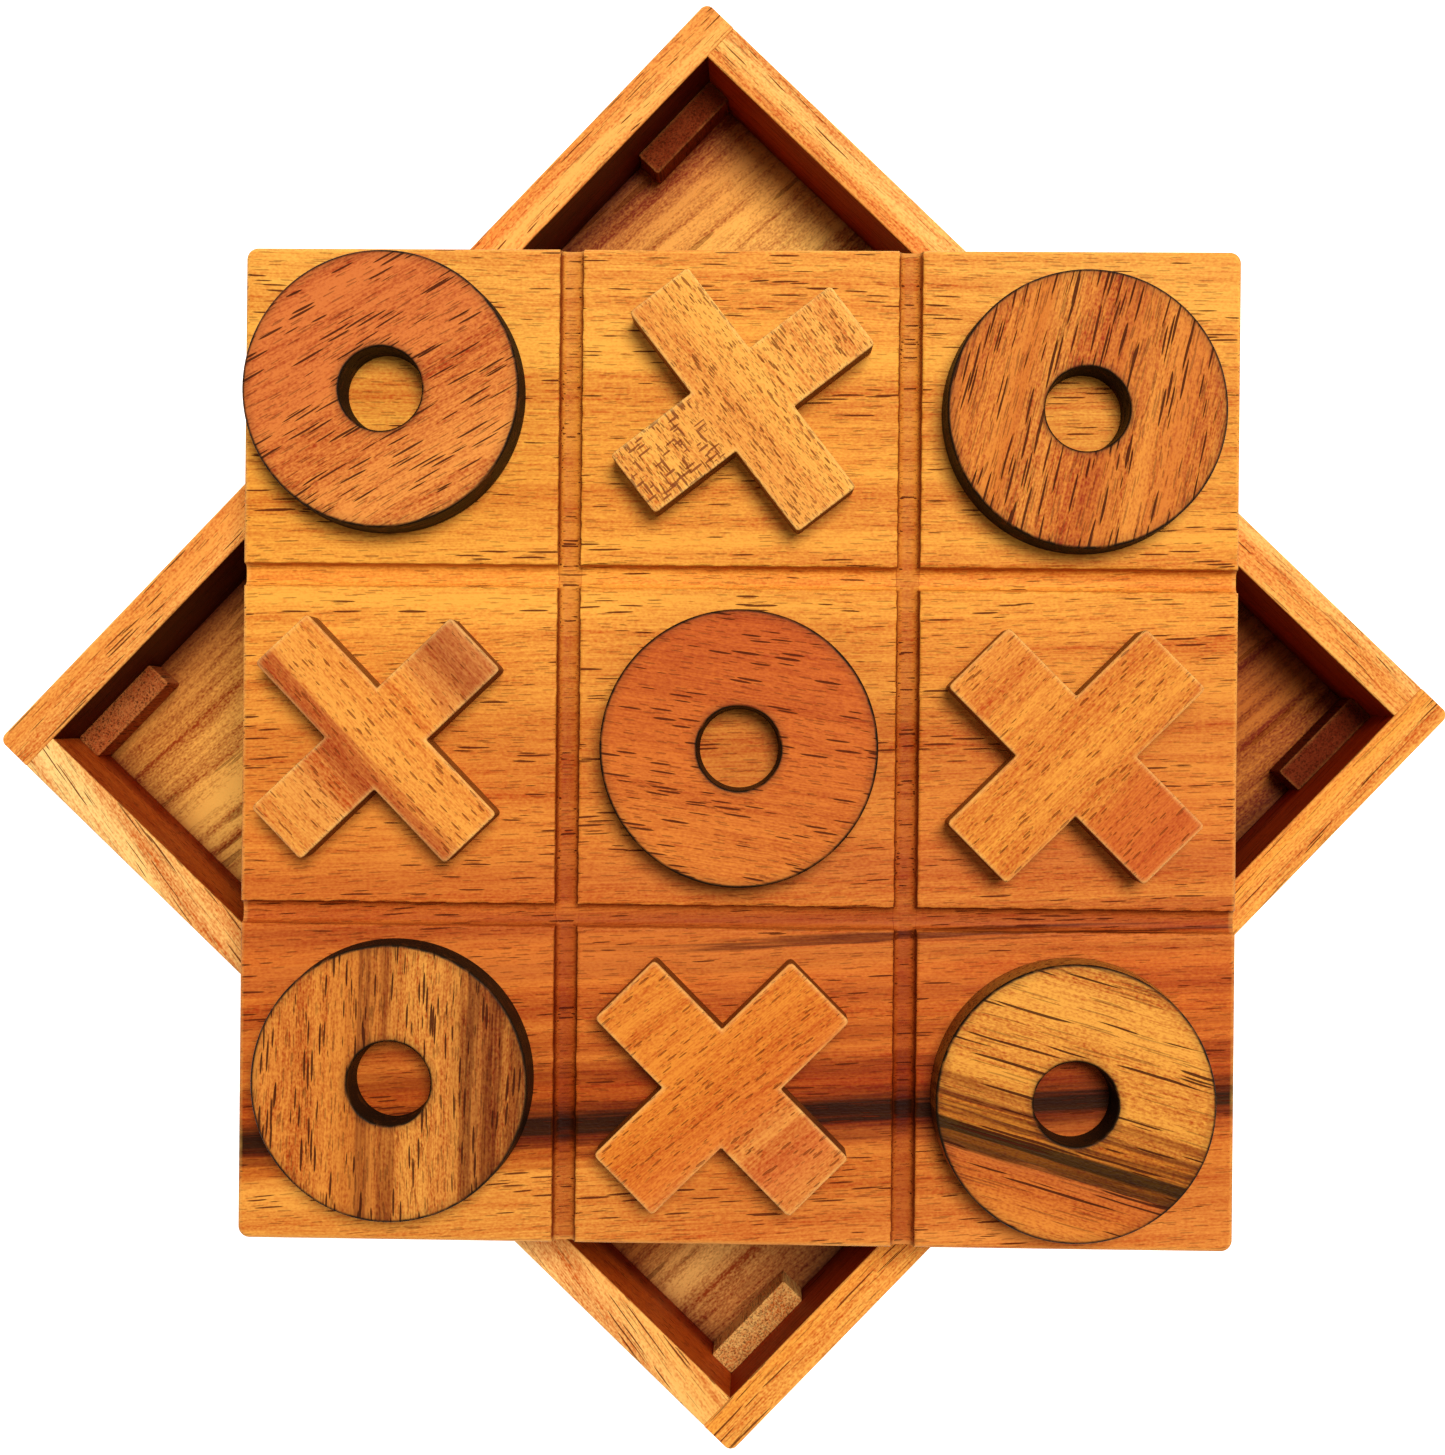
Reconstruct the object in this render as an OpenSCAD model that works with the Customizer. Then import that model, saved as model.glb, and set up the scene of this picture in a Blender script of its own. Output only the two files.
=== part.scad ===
// Wooden tic tac toe set: an open box of butt-jointed rails, a thick grooved playing board that
// is also the lid, five ring pieces and four cross pieces. The board lies turned on the rim of
// the box with the game laid out on it. Squared up, it drops between the rails onto four corner
// blocks, and the pieces lie in one layer under it.
// X runs along the long side rails, Y along the end rails, and Z up from the underside.

/* [Box] */
// Outside length of each side of the box
box_side = 150; // [125:1:190]
// Width of each rail, seen from above
rail_width = 5.6; // [4.5:0.1:8]
// Height of the rails
rail_height = 20.5; // [18:0.5:32]
// Thickness of the floor panel
floor_thickness = 3; // [2:0.5:5]
// Depth of the rebate that the floor panel's edge sits in
floor_rebate = 2.5; // [1.5:0.1:3.5]
// Gap between the floor panel's edge and the back of the rebate
floor_gap = 0.2; // [0.1:0.05:0.5]
// Radius of the four upright corners of the box
box_corner_radius = 1.2; // [0.5:0.1:3]

/* [Corner blocks] */
// Length of each block, along the side rail
block_length = 15.6; // [10:0.2:25]
// Thickness of each block, out from the side rail
block_width = 4.1; // [3:0.1:8]

/* [Playing board] */
// Thickness of the board
board_thickness = 15.5; // [10:0.5:22]
// Gap all round between the board and the rails, when the board is down in the box
board_gap = 0.5; // [0.3:0.05:1.5]
// Radius of the four upright corners of the board
board_corner_radius = 1.6; // [0.5:0.1:4]
// Width of the grooves that part the nine cells
groove_width = 3.2; // [2:0.1:5]
// Depth of the grooves
groove_depth = 2; // [1:0.1:4]
// Turn of the board as it lies on the rim, in degrees
board_turn = -46.5; // [-90:0.5:90]
// Place of the board's centre along X as it lies on the rim
board_x = 0; // [-6:0.5:6]
// Place of the board's centre along Y as it lies on the rim
board_y = -4; // [-6:0.5:6]

/* [Playing pieces] */
// Thickness of the rings and the crosses
piece_thickness = 5.8; // [4:0.1:9]
// Room left above the pieces when they are stored under the board
piece_headroom = 0.5; // [0.2:0.1:2]
// Diameter of a ring across its top face
ring_diameter = 37.8; // [30:0.2:40]
// Diameter of a ring's hole across its top face
hole_diameter = 11.4; // [8:0.2:16]
// How much wider a ring's rim is at its foot, and how much narrower its hole, on the radius
ring_taper = 0.3; // [0:0.05:0.6]
// Length of each bar of a cross, end to end
cross_length = 37.6; // [30:0.2:40]
// Width of each bar of a cross
cross_arm = 10.8; // [8:0.1:14]

/* [Hidden] */
$fn = 96;
CUT = 1;                    // how far a cutting shape runs past what it cuts

opening = box_side - 2 * rail_width;
panel_side = opening + 2 * (floor_rebate - floor_gap);
block_height = piece_thickness + piece_headroom;
board_side = opening - 2 * board_gap;
cell = (board_side - 2 * groove_width) / 3;
pitch = cell + groove_width;
LEFT = 1;
RIGHT = -1;
BACK = 1;
FRONT = -1;

RAIL_COLOUR = "#e8a04a";
FLOOR_COLOUR = "#c98536";
BLOCK_COLOUR = "#b0683a";
BOARD_COLOUR = "#dc8f3c";
RING_COLOUR = "#b5612c";
CROSS_COLOUR = "#d98a3f";

// A square or bar outline whose four corners are quarter rounds.
module rounded_outline(length, width, radius) {
    square([length - 2 * radius, width], center = true);
    square([length, width - 2 * radius], center = true);
    for (x = [-1, 1], y = [-1, 1])
        translate([x * (length / 2 - radius), y * (width / 2 - radius)]) circle(radius);
}

// The room that the floor panel's rebates take out of the four rails.
module panel_room() {
    room = opening + 2 * floor_rebate;
    translate([-room / 2, -room / 2, -CUT]) cube([room, room, floor_thickness + CUT]);
}

// A long rail that runs the whole side of the box, with its outer ends rounded.
module side_rail(side) {
    difference() {
        linear_extrude(rail_height) intersection() {
            rounded_outline(box_side, box_side, box_corner_radius);
            translate([0, side * (box_side - rail_width) / 2])
                square([box_side + CUT, rail_width], center = true);
        }
        panel_room();
    }
}

// A short rail that fits between the two side rails.
module end_rail(end) {
    difference() {
        translate([end * (box_side - rail_width) / 2, 0, rail_height / 2])
            cube([rail_width, opening, rail_height], center = true);
        panel_room();
    }
}

// A block in the corner of the box, which the board rests on when it is down in the box.
module corner_block(end, side) {
    translate([
        end * (opening - block_length) / 2,
        side * (opening - block_width) / 2,
        floor_thickness + block_height / 2
    ]) cube([block_length, block_width, block_height], center = true);
}

// Puts its children on the board: z = 0 is the board's top face, x and y run along its edges.
module on_board() {
    translate([board_x, board_y, rail_height + board_thickness]) rotate(board_turn) children();
}

// One groove along the board's x direction, with a round bottom.
module groove() {
    flat = groove_depth - groove_width / 2;
    rotate([90, 0, 90]) linear_extrude(board_side + 2 * CUT, center = true) {
        translate([-groove_width / 2, -flat]) square([groove_width, flat + CUT]);
        translate([0, -flat]) circle(groove_width / 2);
    }
}

// Puts its children in a cell: column and row run from -1 to 1, shift is how far off the
// cell's centre the piece was set down, and turn is in degrees.
module in_cell(column, row, shift, turn = 0) {
    on_board() translate([column * pitch + shift.x, row * pitch + shift.y, 0]) rotate(turn)
        children();
}

// A ring with a slightly tapered rim and hole.
module ring_piece() {
    outer = ring_diameter / 2;
    inner = hole_diameter / 2;
    rotate_extrude() polygon([
        [inner - ring_taper, 0], [outer + ring_taper, 0],
        [outer, piece_thickness], [inner, piece_thickness]
    ]);
}

// A cross cut from one slab. trim is how much wider its bars came out than the set's size.
module cross_piece(trim) {
    arm = cross_arm + trim;
    linear_extrude(piece_thickness) for (turn = [45, -45])
        rotate(turn) square([cross_length, arm], center = true);
}

module side_rail_left() { color(RAIL_COLOUR) side_rail(LEFT); }
module side_rail_right() { color(RAIL_COLOUR) side_rail(RIGHT); }
module end_rail_front() { color(RAIL_COLOUR) end_rail(FRONT); }
module end_rail_back() { color(RAIL_COLOUR) end_rail(BACK); }

module floor_panel() {
    color(FLOOR_COLOUR) translate([0, 0, floor_thickness / 2])
        cube([panel_side, panel_side, floor_thickness], center = true);
}

module corner_block_front_left() { color(BLOCK_COLOUR) corner_block(FRONT, LEFT); }
module corner_block_front_right() { color(BLOCK_COLOUR) corner_block(FRONT, RIGHT); }
module corner_block_back_left() { color(BLOCK_COLOUR) corner_block(BACK, LEFT); }
module corner_block_back_right() { color(BLOCK_COLOUR) corner_block(BACK, RIGHT); }

module playing_board() {
    groove_place = pitch / 2;
    color(BOARD_COLOUR) on_board() difference() {
        translate([0, 0, -board_thickness]) linear_extrude(board_thickness)
            rounded_outline(board_side, board_side, board_corner_radius);
        for (side = [-1, 1]) {
            translate([0, side * groove_place, 0]) groove();
            translate([side * groove_place, 0, 0]) rotate(90) groove();
        }
    }
}

module ring_top_left() { color(RING_COLOUR) in_cell(-1, 1, [-1.9, 1.4]) ring_piece(); }
module ring_top_right() { color(RING_COLOUR) in_cell(1, 1, [0, -0.8]) ring_piece(); }
module ring_centre() { color(RING_COLOUR) in_cell(0, 0, [0.3, -0.1]) ring_piece(); }
module ring_bottom_left() { color(RING_COLOUR) in_cell(-1, -1, [0.1, 0.9]) ring_piece(); }
module ring_bottom_right() { color(RING_COLOUR) in_cell(1, -1, [-0.7, -0.7]) ring_piece(); }

module cross_top() { color(CROSS_COLOUR) in_cell(0, 1, [0.4, 0.2], -7) cross_piece(-0.8); }
module cross_left() { color(CROSS_COLOUR) in_cell(-1, 0, [-2.1, 0.8], -1) cross_piece(-1); }
module cross_right() { color(CROSS_COLOUR) in_cell(1, 0, [-1.1, -0.7], 0) cross_piece(0.7); }
module cross_bottom() { color(CROSS_COLOUR) in_cell(0, -1, [-1.6, 0.8], 0) cross_piece(0.6); }

side_rail_left();
side_rail_right();
end_rail_front();
end_rail_back();
floor_panel();
corner_block_front_left();
corner_block_front_right();
corner_block_back_left();
corner_block_back_right();
playing_board();
ring_top_left();
ring_top_right();
ring_centre();
ring_bottom_left();
ring_bottom_right();
cross_top();
cross_left();
cross_right();
cross_bottom();
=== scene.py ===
"""Wooden tic tac toe set: an open box of four rails, a thick grooved board lying turned on its rim,
five rings and four crosses, all in oiled hardwood, in plain soft studio light.

Lengths in the size fields are in millimetres, and meshes are in metres in the shared frame.
"""

import logging
import math
from dataclasses import dataclass, field
from enum import Enum

import bpy
import numpy as np
from mathutils import Matrix, Vector

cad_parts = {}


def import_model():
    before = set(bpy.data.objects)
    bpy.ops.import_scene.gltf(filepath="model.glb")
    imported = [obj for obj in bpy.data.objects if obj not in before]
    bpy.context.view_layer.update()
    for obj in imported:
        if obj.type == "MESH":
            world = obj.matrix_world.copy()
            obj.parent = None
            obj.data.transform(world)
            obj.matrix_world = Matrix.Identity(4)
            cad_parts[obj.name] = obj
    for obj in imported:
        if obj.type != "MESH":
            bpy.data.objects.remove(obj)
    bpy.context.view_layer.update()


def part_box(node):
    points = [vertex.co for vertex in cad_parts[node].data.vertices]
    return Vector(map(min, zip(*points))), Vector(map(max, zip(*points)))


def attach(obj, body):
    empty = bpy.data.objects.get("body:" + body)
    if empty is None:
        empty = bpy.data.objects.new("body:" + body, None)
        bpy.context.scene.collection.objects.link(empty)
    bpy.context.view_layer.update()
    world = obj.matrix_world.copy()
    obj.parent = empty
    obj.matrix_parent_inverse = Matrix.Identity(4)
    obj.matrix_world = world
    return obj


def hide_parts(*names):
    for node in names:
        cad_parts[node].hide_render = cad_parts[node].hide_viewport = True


LOG = logging.getLogger("tic_tac_toe_set")
MM = 0.001
WELD = 2e-7
SKIN = 0.003
VIEW_TURN = 45.965
Stops = tuple[tuple[float, str], ...]
Cell = tuple[float, float, float]


class Corner(Enum):
    """The corners of the box, each with the name of its block's CAD node."""

    FRONT_LEFT = "corner_block_front_left"
    FRONT_RIGHT = "corner_block_front_right"
    BACK_LEFT = "corner_block_back_left"
    BACK_RIGHT = "corner_block_back_right"


class Mark(Enum):
    """Per-point amounts that the finishes read from a mesh."""

    # Painted highlight along the eased edges: lightens them towards the highlight colour.
    EDGE = "edge"
    # Real charring on the rings' sides and rims; painted shade on the crosses' sides.
    SCORCH_AND_SHADE = "scorch"
    # Painted shade: darkens the rails' inner faces, the box floor next to the walls and the board's grooves.
    INSIDE = "inside"


def linear(colour: str) -> tuple[float, float, float, float]:
    """The scene-linear colour, with full alpha, of a display colour such as "#e8a04a"."""
    channels = [int(colour[place : place + 2], 16) / 255 for place in (1, 3, 5)]
    return (*[c / 12.92 if c <= 0.04045 else ((c + 0.055) / 1.055) ** 2.4 for c in channels], 1.0)


# ---- Surfaces ----


@dataclass
class Surface:
    """Points, the four-cornered faces between them, and the finishes' amounts at each point."""

    points: np.ndarray
    quads: np.ndarray
    marks: dict[Mark, np.ndarray] = field(default_factory=dict)

    def joined(self, other: "Surface") -> "Surface":
        """This surface and another as one, with their shared points still apart."""
        count = len(self.points)
        names = set(self.marks) | set(other.marks)
        marks = {
            name: np.concatenate([
                self.marks.get(name, np.zeros(count)),
                other.marks.get(name, np.zeros(len(other.points))),
            ])
            for name in names
        }
        return Surface(
            np.concatenate([self.points, other.points]),
            np.concatenate([self.quads, other.quads + count]),
            marks,
        )

    def piece(self, name: str, finish: bpy.types.Material) -> bpy.types.Object:
        """Makes the object, with points that lie together welded into one.

        Args:
            name: the new object's name.
            finish: its material.

        Returns:
            The object, at the origin, with smooth faces.
        """
        keys = np.round(self.points / WELD).astype(np.int64)
        _, first, place = np.unique(keys, axis=0, return_index=True, return_inverse=True)
        faces = place.reshape(-1)[self.quads]
        kept = faces != np.roll(faces, -1, axis=1)
        corners = kept.sum(axis=1)
        whole = corners >= 3
        faces, kept, corners = faces[whole], kept[whole], corners[whole]
        mesh = bpy.data.meshes.new(name)
        mesh.vertices.add(len(first))
        mesh.vertices.foreach_set("co", self.points[first].astype(np.float32).ravel())
        mesh.loops.add(int(corners.sum()))
        mesh.loops.foreach_set("vertex_index", faces[kept].astype(np.int32))
        mesh.polygons.add(len(corners))
        starts = np.concatenate([[0], np.cumsum(corners)[:-1]])
        mesh.polygons.foreach_set("loop_start", starts.astype(np.int32))
        mesh.polygons.foreach_set("use_smooth", np.ones(len(corners), bool))
        mesh.update(calc_edges=True)
        for mark in Mark:
            amounts = self.marks.get(mark, np.zeros(len(self.points)))
            layer = mesh.attributes.new(mark.value, "FLOAT", "POINT")
            layer.data.foreach_set("value", amounts[first].astype(np.float32))
        mesh.validate()
        made = bpy.data.objects.new(name, mesh)
        bpy.context.scene.collection.objects.link(made)
        mesh.materials.append(finish)
        return made


def lofted(rings: np.ndarray, marks: dict[Mark, np.ndarray], closed: bool = False) -> Surface:
    """A surface through closed loops of points, each joined to the next.

    Face (i, j) spans loops i and i + 1 and points j and j + 1 of both, with j wrapping round.

    Args:
        rings: loops by points by three, in metres.
        marks: amounts, loops by points.
        closed: whether the last loop joins the first.

    Returns:
        The surface.
    """
    loops, count = rings.shape[:2]
    at = np.arange(loops * count).reshape(loops, count)
    upper = np.roll(at, -1, axis=0) if closed else at[1:]
    lower = at if closed else at[:-1]
    quads = np.stack([lower, np.roll(lower, -1, 1), np.roll(upper, -1, 1), upper], -1)
    flat = {name: np.broadcast_to(amount, (loops, count)).reshape(-1) for name, amount in marks.items()}
    return Surface(rings.reshape(-1, 3), quads.reshape(-1, 4), flat)


def worn(count: int, seed: int, depth: float) -> np.ndarray:
    """How much more or less an edge is rubbed down at each point of a loop.

    wear(s) = 1 + depth * sum over k of sin(2 pi f_k s + p_k) / 3, with three whole-number f_k.

    Args:
        count: points round the loop.
        seed: which wear pattern.
        depth: how far from 1 it may go.

    Returns:
        One factor for each point.
    """
    draw = np.random.default_rng(seed)
    turns = draw.integers(3, 17, 3)
    shifts = draw.uniform(0, 2 * math.pi, 3)
    along = np.linspace(0, 1, count, endpoint=False)
    waves = np.sin(2 * math.pi * turns[:, None] * along[None] + shifts[:, None])
    return 1 + depth * waves.sum(axis=0) / 3


def quarter(radius: float, steps: int) -> tuple[np.ndarray, np.ndarray]:
    """A quarter round, as r (1 - sin a) and r (1 - cos a) for a from 0 to 90 degrees."""
    bend = np.linspace(0, math.pi / 2, steps + 1)
    return radius * (1 - np.sin(bend)), radius * (1 - np.cos(bend))


def placed(points: np.ndarray, degrees: float, middle: Vector, base: float) -> np.ndarray:
    """Points turned about the upright and moved into place.

    Args:
        points: any number of points, in millimetres about the piece's own middle.
        degrees: the turn.
        middle: where the piece's middle goes; its height is not used.
        base: what is added to the heights.

    Returns:
        The points in the shared frame, in metres.
    """
    cosine, sine = math.cos(math.radians(degrees)), math.sin(math.radians(degrees))
    x, y = points[..., 0], points[..., 1]
    return MM * np.stack([
        x * cosine - y * sine + middle.x, x * sine + y * cosine + middle.y, points[..., 2] + base,
    ], -1)


@dataclass
class Outline:
    """A closed outline seen from above, anticlockwise, with each corner a smooth round.

    A corner C of rounding r, with unit vectors u to the corner before and v to the next, is
    P(s) = C + r ((1 - s)^2 u + s^2 v) for s from 0 to 1. Moved in by d, C goes d along the mitre
    and r shrinks to nothing at the reach, so every point moves in a straight line.
    """

    corners: np.ndarray
    roundings: np.ndarray
    reach: float
    arc_steps: int = 6
    stations: tuple[float, ...] = (0.012, 0.05, 0.15, 0.3, 0.43, 0.57, 0.7, 0.85, 0.95, 0.988)

    def _loop(self, inset: float) -> np.ndarray:
        """The outline moved in by one amount."""
        before = np.roll(self.corners, 1, axis=0) - self.corners
        after = np.roll(self.corners, -1, axis=0) - self.corners
        before = before / np.linalg.norm(before, axis=1, keepdims=True)
        after = after / np.linalg.norm(after, axis=1, keepdims=True)
        inward_before = np.stack([before[:, 1], -before[:, 0]], 1)
        inward_after = np.stack([-after[:, 1], after[:, 0]], 1)
        share = 1 + (inward_before * inward_after).sum(axis=1, keepdims=True)
        moved = self.corners + inset * (inward_before + inward_after) / share
        radius = (self.roundings * (1 - inset / self.reach))[:, None, None]
        step = np.linspace(0, 1, self.arc_steps + 1)[None, :, None]
        arcs = moved[:, None] + radius * ((1 - step) ** 2 * before[:, None] + step**2 * after[:, None])
        along = np.array(self.stations)[None, :, None]
        edges = arcs[:, -1:] * (1 - along) + np.roll(arcs[:, :1], -1, axis=0) * along
        return np.concatenate([arcs, edges], axis=1).reshape(-1, 2)

    def at(self, insets: np.ndarray) -> np.ndarray:
        """The outline at several insets.

        Args:
            insets: levels by points, or levels by 1.

        Returns:
            Levels by points by two.
        """
        start = self._loop(0.0)
        unit = self._loop(1.0) - start
        return start[None] + unit[None] * insets[..., None]

    def count(self) -> int:
        """How many points the outline has."""
        return len(self.corners) * (self.arc_steps + 1 + len(self.stations))


@dataclass
class EasedSlab:
    """An outline with height, whose top and bottom edges are rubbed round.

    An outline with height, whose top and bottom edges are worn round and carry a painted highlight.
    up the side, and the same again mirrored at the top. Both faces close on the outline's middle.
    """

    outline: Outline
    low: float
    high: float
    ease: float
    wear: float = 0.25
    seed: int = 1
    # How far the sides darken towards the charred colour: painted shade on the crosses.
    scorch: float = 0.0
    steps: int = 5
    support: float = 0.3
    support_share: float = 1.3
    # Painted highlight amounts on the sides' support rows and the outermost bend rows.
    side_highlight: float = 0.4
    end_highlight: float = 0.5
    # Painted shade on rings of the top face, as (inset, amount); the sides then count as fully shaded.
    shade_border: tuple[tuple[float, float], ...] = ()

    def _levels(self) -> tuple[np.ndarray, np.ndarray, np.ndarray]:
        """Each level's inset, its height, and 1 where wear moves it, from the bottom up."""
        inset, rise = quarter(self.ease, self.steps)
        foot = self.ease * self.support_share + self.support
        rim = [inset_here for inset_here, _ in self.shade_border]
        reach = [self.outline.reach]
        moved = np.ones(self.steps + 1)
        insets = np.concatenate([reach, [foot], inset, [0, 0], inset[::-1], [foot], rim, reach])
        heights = np.concatenate([
            [self.low] * 2, self.low + rise, [self.low + foot, self.high - foot],
            self.high - rise[::-1], [self.high] * (2 + len(rim)),
        ])
        return insets, heights, np.concatenate([[0, 0], moved, [0, 0], moved, [0, 0], np.zeros(len(rim))])

    def _marks(self, moves: np.ndarray) -> dict[Mark, np.ndarray]:
        """The amounts at each level, in columns."""
        level = np.arange(len(moves))
        first_side, last_side = 2 + self.steps, 5 + self.steps
        face = len(moves) - len(self.shade_border) - 1
        # Painted highlight on the eased edges.
        edge = moves * np.where((level == 2) | (level == face - 2), self.end_highlight, 1.0)
        edge = np.where((level == first_side) | (level == last_side), self.side_highlight, edge)
        # Darkening of the sides towards the charred colour: painted shade on the crosses.
        charred_and_shaded = np.where((level >= first_side) & (level <= last_side), self.scorch, 0.0)
        # Painted shade on the top face's rings near the edge and on the sides.
        shaded = np.zeros(len(moves))
        if self.shade_border:
            shaded[first_side:face] = 1.0
            shaded[face:-1] = [amount for _, amount in self.shade_border]
        return {Mark.EDGE: edge[:, None], Mark.SCORCH_AND_SHADE: charred_and_shaded[:, None], Mark.INSIDE: shaded[:, None]}

    def surface(self, centre: Vector, turn: float) -> Surface:
        """Builds the slab and puts it in place.

        Args:
            centre: its middle in the shared frame, in millimetres; the height is not used.
            turn: its turn about the upright, in degrees.

        Returns:
            The closed surface, in metres.
        """
        insets, heights, moves = self._levels()
        factor = 1 + (worn(self.outline.count(), self.seed, self.wear) - 1)[None] * moves[:, None]
        plan = self.outline.at(insets[:, None] * factor)
        limit = np.where(heights > (self.low + self.high) / 2, self.high, self.low)[:, None]
        height = limit + (heights[:, None] - limit) * factor
        return lofted(placed(np.dstack([plan, height]), turn, centre, 0.0), self._marks(moves))


# ---- Finishes ----


@dataclass(frozen=True)
class Amount:
    """A number that differs from place to place: a node's output that sums can be done with."""

    bench: "Bench"
    socket: bpy.types.NodeSocket

    def __add__(self, other: object) -> "Amount":
        """This plus an amount or number."""
        return self.bench.math("ADD", self, other)

    def __sub__(self, other: object) -> "Amount":
        """This less an amount or number."""
        return self.bench.math("SUBTRACT", self, other)

    def __rsub__(self, other: float) -> "Amount":
        """A number less this."""
        return self.bench.math("SUBTRACT", other, self)

    def __mul__(self, other: object) -> "Amount":
        """This times an amount or number."""
        return self.bench.math("MULTIPLY", self, other)


class Bench:
    """Short calls for laying out one material's nodes."""

    def __init__(self, name: str) -> None:
        """Starts a material with an empty tree.

        Args:
            name: the material's name.
        """
        self.material = bpy.data.materials.new(name)
        self.material.use_nodes = True
        self.tree = self.material.node_tree
        self.tree.nodes.clear()

    def add(self, kind: str, **settings: object) -> bpy.types.Node:
        """Adds a node of this kind with these settings."""
        node = self.tree.nodes.new(kind)
        for name, value in settings.items():
            setattr(node, name, value)
        return node

    def feed(self, target: bpy.types.NodeSocket, value: object) -> None:
        """Links an amount or socket to the target, or sets the target to a plain value."""
        value = value.socket if isinstance(value, Amount) else value
        if isinstance(value, bpy.types.NodeSocket):
            self.tree.links.new(value, target)
        else:
            target.default_value = value

    def math(self, operation: str, first: object, second: object = 0.0, clamp: bool = False) -> Amount:
        """One arithmetic step on two values.

        Args:
            operation: Blender's name for the step.
            first: an amount or number.
            second: an amount or number.
            clamp: whether the result is kept from 0 to 1.

        Returns:
            The result.
        """
        node = self.add("ShaderNodeMath", operation=operation, use_clamp=clamp)
        self.feed(node.inputs[0], first)
        self.feed(node.inputs[1], second)
        return Amount(self, node.outputs[0])

    def vector(self, operation: str, first: object, second: object) -> bpy.types.NodeSocket:
        """One step on two vectors."""
        node = self.add("ShaderNodeVectorMath", operation=operation)
        self.feed(node.inputs[0], first)
        self.feed(node.inputs[1], second)
        return node.outputs["Value" if operation == "DOT_PRODUCT" else "Vector"]

    def parts(self, place: bpy.types.NodeSocket) -> tuple[Amount, Amount, Amount]:
        """A place's lengths along X, Y and Z."""
        node = self.add("ShaderNodeSeparateXYZ")
        self.feed(node.inputs[0], place)
        return tuple(Amount(self, node.outputs[axis]) for axis in "XYZ")

    def whole(self, x: object, y: object, z: object) -> bpy.types.NodeSocket:
        """The vector with these lengths along X, Y and Z."""
        node = self.add("ShaderNodeCombineXYZ")
        for axis, value in zip("XYZ", (x, y, z)):
            self.feed(node.inputs[axis], value)
        return node.outputs[0]

    def noise(self, at: bpy.types.NodeSocket, cell: Cell, detail: float = 2.0) -> Amount:
        """Smooth noise around 0.5 whose blobs have this size in millimetres."""
        node = self.add("ShaderNodeTexNoise", noise_dimensions="3D")
        self.feed(node.inputs["Vector"], self.vector("DIVIDE", at, cell))
        node.inputs["Scale"].default_value = 1.0
        node.inputs["Detail"].default_value = detail
        return Amount(self, node.outputs["Fac"])

    def spots(self, at: bpy.types.NodeSocket, cell: Cell, size: object, soft: float = 0.04) -> Amount:
        """Long spots, one to a cell, as 1 inside and 0 outside.

        Args:
            at: the place, in millimetres.
            cell: the cells' size in millimetres.
            size: the spots' half size, as a share of the cell.
            soft: the width of their soft edge, as a share of the cell.

        Returns:
            The mask.
        """
        node = self.add("ShaderNodeTexVoronoi", voronoi_dimensions="3D", feature="F1")
        self.feed(node.inputs["Vector"], self.vector("DIVIDE", at, cell))
        node.inputs["Scale"].default_value = 1.0
        gap = self.math("SUBTRACT", size, node.outputs["Distance"])
        return self.math("DIVIDE", gap, soft, clamp=True)

    def spread(self, value: object, low: float, high: float) -> Amount:
        """The value from low to high as 0 to 1, smoothly and kept within them."""
        node = self.add("ShaderNodeMapRange", interpolation_type="SMOOTHSTEP", clamp=True)
        self.feed(node.inputs["Value"], value)
        node.inputs["From Min"].default_value = low
        node.inputs["From Max"].default_value = high
        return Amount(self, node.outputs["Result"])

    def mix(self, share: object, first: object, second: object, blend: str = "MIX") -> bpy.types.NodeSocket:
        """The first colour blended with the second by a share.

        Args:
            share: an amount or number from 0 to 1.
            first: the colour that is left where the share is 0.
            second: the colour that is blended in.
            blend: Blender's name for the way they blend.

        Returns:
            The colour's socket.
        """
        node = self.add("ShaderNodeMix", data_type="RGBA", blend_type=blend)
        node.clamp_factor = True
        self.feed(node.inputs[0], share)
        self.feed(node.inputs[6], first)
        self.feed(node.inputs[7], second)
        return node.outputs[2]

    def tinted(self, share: object, colour: object, tint: str) -> bpy.types.NodeSocket:
        """The colour, and by a share the colour times a tint."""
        return self.mix(share, colour, self.mix(1.0, colour, linear(tint), "MULTIPLY"))

    def ramp(self, value: object, stops: Stops) -> bpy.types.NodeSocket:
        """The colour at a value along some stops."""
        node = self.add("ShaderNodeValToRGB")
        marks = node.color_ramp.elements
        while len(marks) < len(stops):
            marks.new(0.5)
        for mark, (place, colour) in zip(marks, stops):
            mark.position = place
            mark.color = linear(colour)
        self.feed(node.inputs[0], value)
        return node.outputs[0]

    def mark(self, mark: Mark) -> Amount:
        """A mesh's own amount at each point."""
        return Amount(self, self.add("ShaderNodeAttribute", attribute_name=mark.value).outputs["Fac"])


@dataclass(frozen=True)
class Grain:
    """How a piece was cut: its middle, which way the grain runs and leans, and which part of the log."""

    centre: tuple[float, float, float]
    turn: float
    seed: int
    upright: bool = False
    slope: float = 0.0
    fan: float = 0.0


@dataclass(frozen=True)
class Figure:
    """A wood's pattern at each point: open and faint pores, streaks, bands, fibres, grit, end grain."""

    pores: Amount
    faint: Amount
    streaks: Amount
    bands: Amount
    lines: Amount
    threads: Amount
    grit: Amount
    end: Amount


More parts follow.
